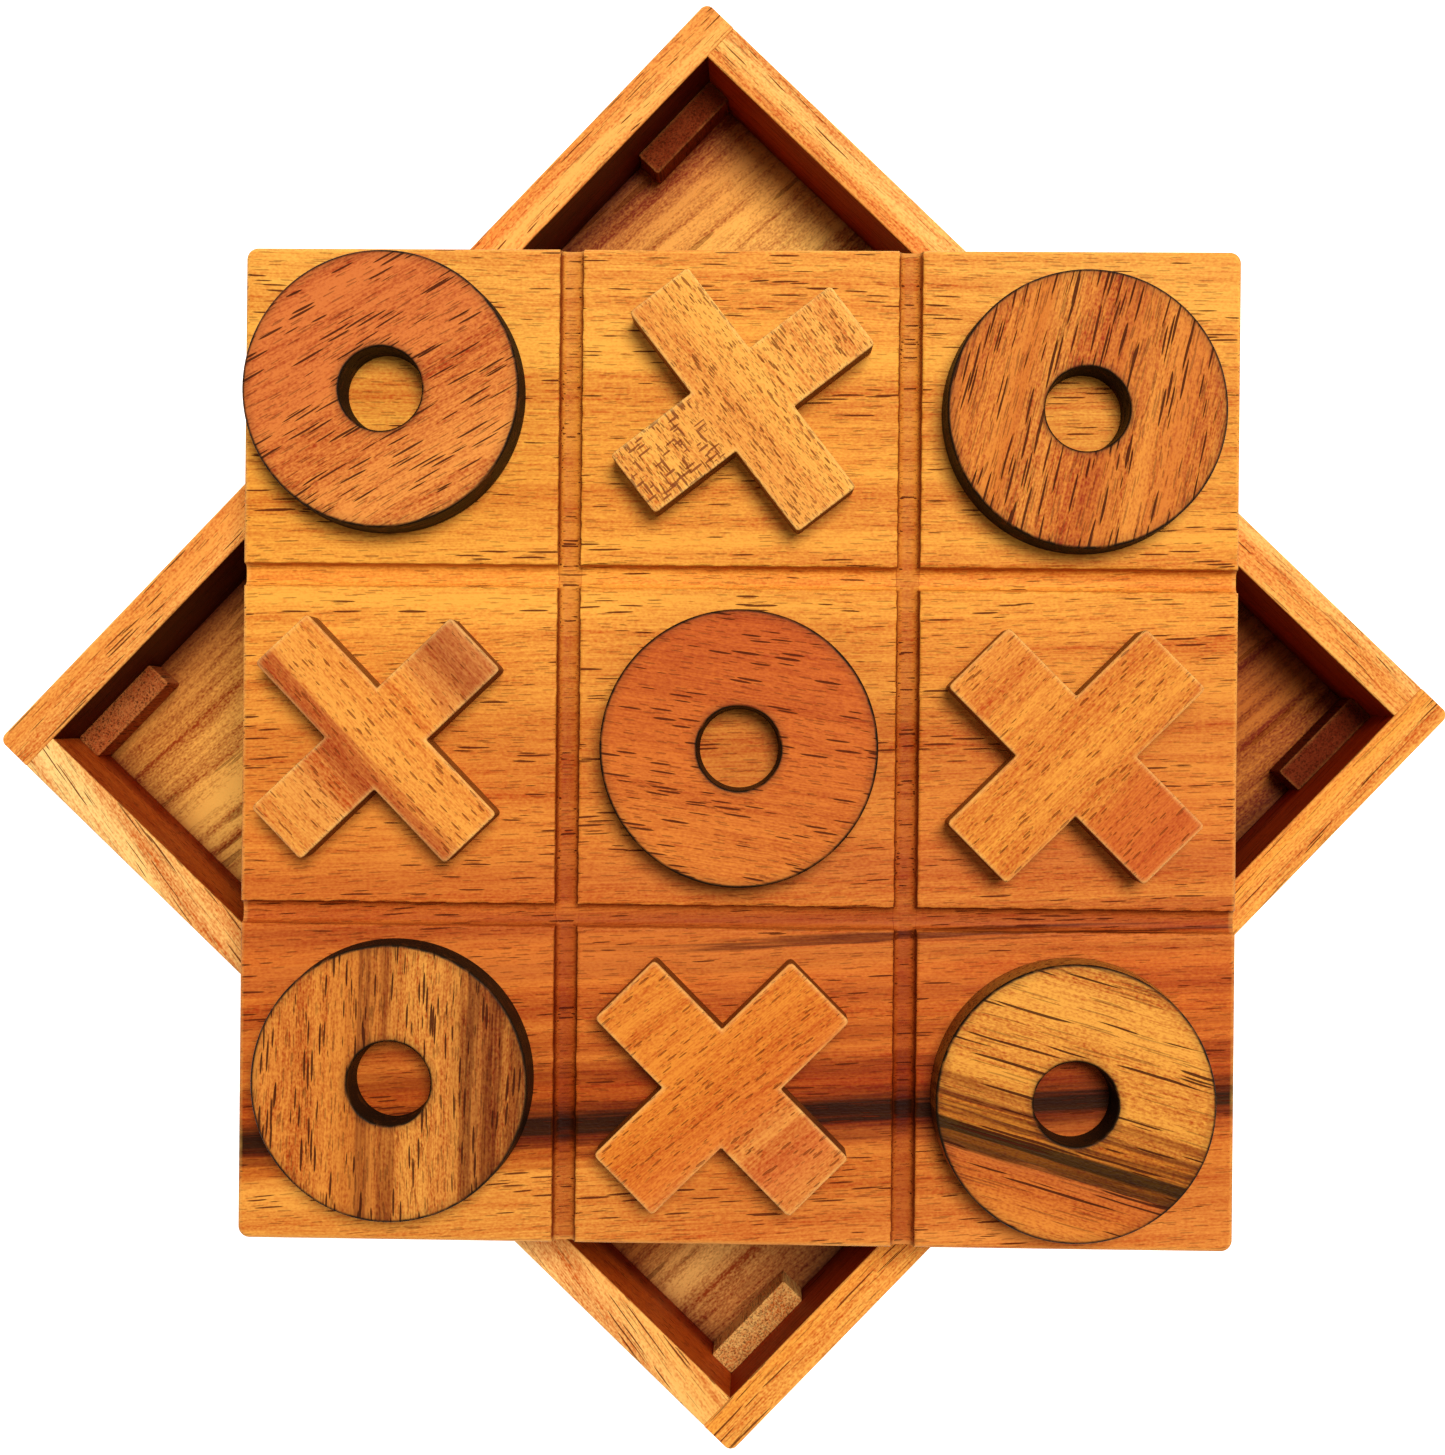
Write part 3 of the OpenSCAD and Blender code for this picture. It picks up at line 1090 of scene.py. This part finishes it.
@dataclass
class PlayingBoard:
    """The thick board whose top is parted into nine cells by two pairs of grooves.

    The top is z(x, y) = -max(groove(x), groove(y), ease(q)), where groove(s) is a U of depth
    d (1 - |s / w|^p)^(1 / p), and ease(q) = e - sqrt(e^2 - (e - q)^2) at q in from the outline.
    """

    node: str = "playing_board"
    turn: float = -46.5
    side: float = 137.8 - 2 * SKIN
    corner_round: float = 1.6
    ease: float = 0.7
    foot_share: float = 0.8
    groove_place: float = 23.5
    groove_width: float = 3.2
    groove_depth: float = 2.0
    groove_power: float = 3.6
    ragged: float = 0.025
    spacing: float = 0.85
    line_clear: float = 0.7
    groove_supports: tuple[float, ...] = (0.12, 0.5)
    corner_lines: tuple[float, ...] = (0.6, 0.75, 0.9, 1.0, 1.2)
    edge_clear: float = 2.5
    # Painted shade in the grooves: most on the -X wall of each upright groove and the +Y wall of each level
    # groove, on the upright grooves' floors, more towards -Y, and at the crossings.
    wall_reach: tuple[float, float] = (0.4, 1.85)
    wall_fade: float = 0.5
    upright_wall_shades: tuple[float, float] = (0.85, 0.6)
    level_wall_shades: tuple[float, float, float] = (0.45, 0.7, 0.05)
    low_side_shade: float = 0.35
    groove_floor_shade: tuple[float, float] = (0.46, 0.12)
    crossing_shade: float = 0.3
    # Painted highlight on the board's foot.
    foot_highlight: float = 0.7

    def _lines(self) -> np.ndarray:
        """Places of the grid lines along one side: close together at the grooves and the edges."""
        half, wide = self.side / 2, self.groove_width / 2
        bend = np.linspace(-math.pi / 2, math.pi / 2, 15)
        beside = wide + np.array(self.groove_supports)
        one = np.concatenate([wide * np.sin(bend), beside, -beside])
        rim = half - quarter(self.ease, 5)[0]
        arc = half - self.corner_round * np.array(self.corner_lines)
        plain = np.arange(-half + self.edge_clear, half - self.edge_clear, self.spacing)
        far = np.abs(np.abs(plain) - self.groove_place) > wide + self.line_clear
        lines = [plain[far], rim, -rim, arc, -arc, one + self.groove_place, one - self.groove_place]
        return np.unique(np.round(np.concatenate(lines), 5))

    def _groove(self, across: np.ndarray, along: np.ndarray, ragged: float, seed: int) -> np.ndarray:
        """The grooves' depth at a place.

        Args:
            across: distance from the board's middle across the grooves.
            along: distance along them.
            ragged: how far their edges wander.
            seed: which wander.

        Returns:
            Depths, 0 outside the grooves.
        """
        draw = np.random.default_rng(seed)
        pitch = draw.uniform(1.2, 6.5, 9)
        shift = draw.uniform(0, 2 * math.pi, 9)
        waves = np.sin(along[..., None] * pitch + shift).sum(-1) / 3
        from_middle = np.abs(np.abs(across) - self.groove_place) / (self.groove_width / 2 + ragged * waves)
        power = self.groove_power
        return self.groove_depth * np.clip(1 - from_middle**power, 0, 1) ** (1 / power)

    def _plan(self, lines: np.ndarray) -> tuple[np.ndarray, np.ndarray, np.ndarray]:
        """The grid's X and Y with its corners drawn round, and how far each point is from the outline."""
        x, y = np.meshgrid(lines, lines, indexing="ij")
        soft = self.corner_round
        square = self.side / 2 - soft
        u = np.clip((np.abs(x) - square) / soft, 0, 1)
        v = np.clip((np.abs(y) - square) / soft, 0, 1)
        in_corner = (u > 0) & (v > 0)
        reach = np.maximum(u, v)
        shrink = reach / np.maximum(np.hypot(u, v), 1e-9)
        round_x = np.where(in_corner, np.sign(x) * (square + soft * u * shrink), x)
        round_y = np.where(in_corner, np.sign(y) * (square + soft * v * shrink), y)
        return round_x, round_y, soft * (1 - reach)

    def _painted_shade(self, x: np.ndarray, y: np.ndarray, upright: np.ndarray, level: np.ndarray) -> np.ndarray:
        """The painted shade in the grooves: most on the walls that the light passes over, and more on the -Y
        side.

        Args:
            x: each point's place across the upright grooves.
            y: each point's place across the level grooves.
            upright: the upright grooves' depth there.
            level: the level grooves' depth there.

        Returns:
            The painted shade amounts.
        """
        shallow, deep = self.wall_reach
        wall, side = (
            np.clip(depth / shallow, 0, 1) * np.clip((deep - depth) / self.wall_fade, 0, 1)
            for depth in (upright, level)
        )
        wall = wall * np.where(x < np.sign(x) * self.groove_place, *self.upright_wall_shades)
        far_upper, near_upper, lower = self.level_wall_shades
        upper = np.where(y > 0, far_upper, near_upper)
        side = side * np.where(y > np.sign(y) * self.groove_place, upper, lower)
        low_side = self.low_side_shade * (y < 0) * level / self.groove_depth
        evenly, falling = self.groove_floor_shade
        floor = (evenly - falling * y / (self.side / 2)) * upright / self.groove_depth
        painted_shade = np.maximum(np.maximum(wall, side), np.maximum(floor, low_side))
        crossing = np.minimum(upright, level) > self.groove_depth * 0.5
        return np.where(crossing, self.crossing_shade, np.clip(painted_shade, 0, 1))

    def surface(self, middle: Vector, top: float, thickness: float) -> Surface:
        """Builds the board's whole skin in place.

        Args:
            middle: the board's middle in millimetres.
            top: the height of its top face.
            thickness: its thickness.

        Returns:
            The closed surface, in metres.
        """
        x, y, inward = self._plan(self._lines())
        short = np.clip(self.ease - inward, 0, self.ease)
        eased = self.ease - np.sqrt(self.ease**2 - short**2)
        upright = self._groove(x, y, self.ragged, 3)
        level = self._groove(y, x, self.ragged * 0.3, 4)
        depth = np.maximum(np.maximum(upright, level), eased)
        edge = np.clip(short / self.ease, 0, 1) ** 0.5
        at = np.arange(x.size).reshape(x.shape)
        quads = np.stack([at[:-1, :-1], at[1:, :-1], at[1:, 1:], at[:-1, 1:]], -1).reshape(-1, 4)
        grid = np.stack([x, y, -depth], -1)
        # Painted highlight along the eased top edge, and painted shade in the grooves.
        marks = {Mark.EDGE: edge.reshape(-1), Mark.INSIDE: self._painted_shade(x, y, upright, level).reshape(-1)}
        whole = Surface(grid.reshape(-1, 3), quads, marks).joined(self._skirt(grid, edge, thickness))
        whole.points = placed(whole.points, self.turn, middle, top)
        return whole

    def _skirt(self, grid: np.ndarray, edge: np.ndarray, thickness: float) -> Surface:
        """The board's sides and underside, from the top face's own outline down."""
        rim, amount = (
            np.concatenate([whole[:-1, 0], whole[-1, :-1], whole[:0:-1, -1], whole[0, :0:-1]])
            for whole in (grid, edge)
        )
        foot = self.ease * self.foot_share
        steep, flat = quarter(foot, 4)
        inset = np.concatenate([[0, 0, 0], flat, [foot + 0.3, self.side / 2]])
        drop = np.concatenate([
            [-self.groove_depth - 0.8, -thickness * 0.5, -thickness + foot + 0.3],
            -thickness + steep, [-thickness, -thickness],
        ])
        shrink = (1 - inset / (self.side / 2))[:, None]
        flat_drop = np.broadcast_to(drop[:, None], (len(drop), len(rim)))
        rings = np.stack([rim[:, 0] * shrink, rim[:, 1] * shrink, flat_drop], -1)
        upper = rim.copy()
        upper[:, 2] = np.minimum(rim[:, 2], -self.ease) - 0.25
        rings = np.concatenate([rim[None], upper[None], rings])[::-1]
        # Painted highlight: the top edge's amounts on the top rim, and the foot's eased edge.
        marks = np.zeros(rings.shape[:2])
        marks[-1] = amount
        marks[3:6] = self.foot_highlight
        return lofted(rings, {Mark.EDGE: marks})

    def build(self) -> bpy.types.Object:
        """Builds the board in its CAD node's place."""
        low, high = spans(self.node)
        middle = (low + high) / 2
        grain = Grain((middle.x, middle.y, high.z), self.turn, 41, slope=0.03, fan=-0.0006)
        skin = self.surface(middle, high.z, high.z - low.z)
        return wooden(skin, BOARD_FINISH, grain, self.node, "board")


@dataclass
class RingPiece:
    """A ring with charred, slightly tapered sides: a closed profile turned round the upright.

    The profile's points (r, z) run up the rim, in over the top, down the hole and out underneath,
    with each corner a quarter round of radius e.
    """

    node: str
    finish: WoodFinish
    grain_turn: float
    seed: int
    rim_scorch: float = 1.0
    hole: float = 11.4
    taper: float = 0.3
    ease: float = 0.3
    support: float = 0.15
    bend_steps: int = 4
    segments: int = 144

    def _profile(self, outer: float, height: float) -> tuple[np.ndarray, np.ndarray, np.ndarray]:
        """The profile's points with their edge and scorch amounts."""
        inner, foot, soft = self.hole / 2, outer + self.taper, self.ease
        margin = soft + self.support
        steep, flat = quarter(soft, self.bend_steps)
        points = np.concatenate([
            [(foot, soft + 0.3), (outer, height - soft - 0.2)],
            np.stack([outer - flat, height - steep], 1),
            [(outer - margin, height), (outer - margin - 1.1, height)],
            [(inner + margin + 0.9, height), (inner + margin, height)],
            np.stack([inner + steep, height - flat], 1),
            [(inner, height - soft - 0.2), (inner - self.taper, soft + 0.3)],
            np.stack([inner - self.taper + flat, steep], 1),
            np.stack([foot - steep, flat], 1),
        ])
        # Painted highlight on the top's eased edges; the burn amounts are real charring of the sides, fading
        # onto the top.
        edge = [0.0] * 2 + [0.2, 0.3, 0.3, 0.3, 0.2] + [0.0] * 4 + [0.1] * 5 + [0.0] * 12
        burn = [self.rim_scorch] * 2 + [1.0, 1.0, 1.0, 0.9, 0.7] + [0.25, 0.0, 0.0, 0.3]
        burn += [0.6, 0.9] + [1.0] * 15
        return points, np.array(edge), np.array(burn)

    def build(self) -> bpy.types.Object:
        """Builds the ring in its CAD node's place."""
        low, high = spans(self.node)
        middle = (low + high) / 2
        profile, edge, burn = self._profile((high.x - low.x) / 2 - self.taper, high.z - low.z)
        angle = np.linspace(0, 2 * math.pi, self.segments, endpoint=False)
        radius = profile[:, None, 0]
        rings = np.stack([
            middle.x + radius * np.cos(angle), middle.y + radius * np.sin(angle),
            np.broadcast_to(low.z + profile[:, None, 1], (len(profile), self.segments)),
        ], -1)
        skin = lofted(rings * MM, {Mark.EDGE: edge[:, None], Mark.SCORCH_AND_SHADE: burn[:, None]}, closed=True)
        grain = Grain((middle.x, middle.y, high.z), self.grain_turn, self.seed)
        return wooden(skin, self.finish, grain, self.node, self.node)


@dataclass
class CrossPiece:
    """A cross sawn from one slab: two equal bars square to each other, with worn, eased edges that carry a
    painted highlight, and painted shade on its sides.
    """

    node: str
    finish: WoodFinish
    grain_turn: float
    seed: int
    turn: float = 0.0
    length: float = 37.6
    arm: float = 10.8
    end_round: float = 0.7
    inner_round: float = 0.25
    ease: float = 0.3
    # Painted shade on the sides, darkening them towards the charred colour.
    scorch: float = 0.6

    def build(self) -> bpy.types.Object:
        """Builds the cross in its CAD node's place."""
        low, high = spans(self.node)
        middle = (low + high) / 2
        far, near = self.length / 2, self.arm / 2
        arm = np.array([[far, -near], [far, near], [near, near]])
        turns = [np.array([[1, 0], [0, 1]]), np.array([[0, -1], [1, 0]])]
        corners = np.concatenate([arm @ turn.T for turn in (*turns, -turns[0], -turns[1])])
        roundings = np.tile([self.end_round, self.end_round, self.inner_round], 4)
        outline = Outline(corners, roundings, near, arc_steps=4)
        slab = EasedSlab(outline, low.z, high.z, self.ease, seed=self.seed, scorch=self.scorch)
        skin = slab.surface(middle, PlayingBoard.turn + 45.0 + self.turn)
        grain = Grain((middle.x, middle.y, high.z), self.grain_turn, self.seed)
        return wooden(skin, self.finish, grain, self.node, self.node)


def seen_at(degrees: float) -> float:
    """A direction as the camera sees it, in degrees from its right, as a turn in the shared frame."""
    return degrees - VIEW_TURN


RINGS = (
    RingPiece(
        "ring_top_left",
        ring_finish(
            ((-19, "#e69248"), (-4, "#de8440"), (4, "#d4743a"), (19, "#d2703a")),
            pore_length=10, pore_size=0.27, pore_spacing=0.54,
        ),
        seen_at(30), 51,
    ),
    RingPiece(
        "ring_top_right",
        ring_finish(
            (
                (-19, "#e08e3a"), (-12, "#d0742c"), (-8, "#e08c3a"), (-3, "#c86c26"), (0, "#dc8434"),
                (6, "#e49440"), (9, "#cc7028"), (13, "#e08a38"), (19, "#cc7028"),
            ),
            pore_length=12, pore_spacing=0.54, pore_size=0.33,
        ),
        seen_at(76), 52,
    ),
    RingPiece(
        "ring_centre",
        ring_finish(
            ((-19, "#de8236"), (0, "#d06c2a"), (19, "#c85e24")),
            pore_length=8, pore_size=0.26, pore="#501804", band_depth=0.4, streak_depth=0.35, grit=0.6,
            shade="#bc7640",
        ),
        seen_at(-9), 53,
    ),
    RingPiece(
        "ring_bottom_left",
        ring_finish(
            (
                (-19, "#d89048"), (-17.4, "#94501e"), (-16, "#c07a38"), (-14.6, "#7c3c12"),
                (-13.2, "#b87034"),
                (-11.8, "#80441a"), (-10.4, "#c47c38"), (-8, "#dc9044"), (-4, "#e49c4a"), (-1, "#d88c40"),
                (0.6, "#9c5420"), (2, "#cc7c36"), (3.4, "#904a1c"), (5, "#c87630"), (8, "#dc8a3c"),
                (19, "#dc8a3e"),
            ),
            pore_length=8, pore_size=0.3, pore_spacing=0.56, fray=5.0,
        ),
        seen_at(88), 54,
    ),
    RingPiece(
        "ring_bottom_right",
        ring_finish(
            (
                (-19, "#e08a3a"), (-13, "#cc6e2a"), (-10.0, "#c0642a"), (-9.4, "#5a3008"), (-8.3, "#7c4208"),
                (-7.7, "#3a2002"), (-6.4, "#482a02"), (-5.8, "#c87828"), (-4.9, "#6e3606"),
                (-4.1, "#d0802c"),
                (-3.1, "#7c3e0c"), (-2.3, "#d68c3a"), (-1.2, "#a05a1c"), (-0.4, "#dc943e"), (2, "#e49a42"),
                (19, "#e8a048"),
            ),
            pore_length=30, pore_spacing=0.66, pore_size=0.28, fray=2.6, drift=1.0,
        ),
        seen_at(-16.5), 55, rim_scorch=0.3,
    ),
)
CROSSES = (
    CrossPiece(
        "cross_top",
        cross_finish(
            ((-17, "#f2ae54"), (-4, "#e89c4a"), (3, "#f0a850"), (17, "#f4b05a")),
            pore_length=2.8, pore_spacing=0.44, pore_size=0.31, faint_pores=0.5, hatch=0.85, pore="#7a3410",
        ),
        seen_at(-52), 61, turn=-7.0, arm=10.0,
    ),
    CrossPiece(
        "cross_left",
        cross_finish(
            (
                (-17, "#e89c4a"), (-7, "#e0924a"), (-5, "#c06c32"), (-2.4, "#c67034"), (-1.2, "#ea9c48"),
                (7, "#ec9a44"), (10, "#de9048"), (14, "#b86a34"), (17, "#cc7e44"),
            ),
            fray=4.0, pore_size=0.24,
        ),
        seen_at(-46), 62, turn=-1.0, arm=9.8,
    ),
    CrossPiece(
        "cross_right",
        cross_finish(
            ((-17, "#cc662a"), (-9, "#d2702c"), (-6.5, "#e2903c"), (0, "#e8983e"), (17, "#e69440")),
        ),
        seen_at(45), 63, arm=11.5,
    ),
    CrossPiece(
        "cross_bottom",
        cross_finish(
            (
                (-17, "#de8c46"), (-13, "#d4743a"), (-9, "#e09048"), (-6, "#da7a32"), (0, "#e08430"),
                (17, "#e28a36"),
            ),
            fray=5.0,
        ),
        seen_at(38), 64, arm=11.4,
    ),
)


# ---- The studio ----


@dataclass
class Studio:
    """The camera above the set, a pale floor, a large soft lamp and the room's plain light."""

    camera_place: tuple[float, float, float] = (4.683, -4.710, 310.5)
    camera_tilt: tuple[float, float] = (-0.024, 1.204)
    camera_reach: tuple[float, float] = (10.0, 20000.0)
    lens: float = 49.1
    sensor: float = 36.0
    lamp_direction: tuple[float, float] = (0.21, 0.3)
    lamp_height: float = 1.0
    lamp_distance: float = 2500.0
    lamp_size: float = 1100.0
    lamp_power: float = 65.0
    lamp_colour: tuple[float, float, float] = (0.985, 1.0, 0.985)
    room_light: float = 0.3
    floor_half: float = 1500.0
    floor_drop: float = 0.05
    floor_shade: float = 0.86
    floor_roughness: float = 0.9
    floor_glow: float = 0.8

    def build(self) -> None:
        """Builds the camera, the floor and the lights."""
        self._camera()
        self._floor()
        self._lamp()
        self._room()
        bpy.context.scene.view_settings.view_transform = "Standard"
        LOG.info("studio ready")

    def _camera(self) -> None:
        """Places the camera and makes it the scene's own."""
        data = bpy.data.cameras.new("camera")
        data.lens = self.lens
        data.sensor_width = self.sensor
        data.clip_start, data.clip_end = (length * MM for length in self.camera_reach)
        camera = bpy.data.objects.new("camera", data)
        lean, roll = (math.radians(angle) for angle in self.camera_tilt)
        spin = Matrix.Rotation(-math.radians(VIEW_TURN), 4, "Z")
        spin = spin @ Matrix.Rotation(roll, 4, "Y") @ Matrix.Rotation(lean, 4, "X")
        camera.matrix_world = Matrix.Translation(Vector(self.camera_place) * MM) @ spin
        bpy.context.scene.collection.objects.link(camera)
        bpy.context.scene.camera = camera

    def _floor(self) -> None:
        """Lays the pale floor that the box stands on."""
        half, drop = self.floor_half * MM, -self.floor_drop * MM
        mesh = bpy.data.meshes.new("floor")
        corners = [(-half, -half, drop), (half, -half, drop), (half, half, drop), (-half, half, drop)]
        mesh.from_pydata(corners, [], [(0, 1, 2, 3)])
        floor = bpy.data.objects.new("floor", mesh)
        bpy.context.scene.collection.objects.link(floor)
        bench = Bench("pale_floor")
        shader = bench.add("ShaderNodeBsdfPrincipled")
        shader.inputs["Base Color"].default_value = (self.floor_shade,) * 3 + (1,)
        shader.inputs["Roughness"].default_value = self.floor_roughness
        shader.inputs["Emission Color"].default_value = (1, 1, 1, 1)
        shader.inputs["Emission Strength"].default_value = self.floor_glow
        out = bench.add("ShaderNodeOutputMaterial")
        bench.feed(out.inputs["Surface"], shader.outputs[0])
        mesh.materials.append(bench.material)

    def _lamp(self) -> None:
        """Hangs the large soft lamp, leaning to the camera's right and up by the lamp's direction."""
        right, up = self.lamp_direction
        cosine, sine = math.cos(math.radians(VIEW_TURN)), math.sin(math.radians(VIEW_TURN))
        away = Vector((right * cosine + up * sine, up * cosine - right * sine, self.lamp_height))
        away.normalize()
        data = bpy.data.lights.new("lamp", "AREA")
        data.shape = "DISK"
        data.size = self.lamp_size * MM
        data.energy = self.lamp_power
        data.color = self.lamp_colour
        lamp = bpy.data.objects.new("lamp", data)
        lamp.location = away * self.lamp_distance * MM
        lamp.rotation_mode = "QUATERNION"
        lamp.rotation_quaternion = away.to_track_quat("Z", "Y")
        bpy.context.scene.collection.objects.link(lamp)

    def _room(self) -> None:
        """Lights the room evenly."""
        world = bpy.data.worlds.new("room")
        world.use_nodes = True
        shade = world.node_tree.nodes["Background"]
        shade.inputs["Color"].default_value = (1, 1, 1, 1)
        shade.inputs["Strength"].default_value = self.room_light
        bpy.context.scene.world = world


def main() -> None:
    """Builds the set and the studio."""
    logging.basicConfig(level=logging.INFO, format="%(name)s: %(message)s")
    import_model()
    StorageBox().build()
    PlayingBoard().build()
    for ring in RINGS:
        ring.build()
    for cross in CROSSES:
        cross.build()
    Studio().build()


if __name__ == "__main__":
    main()
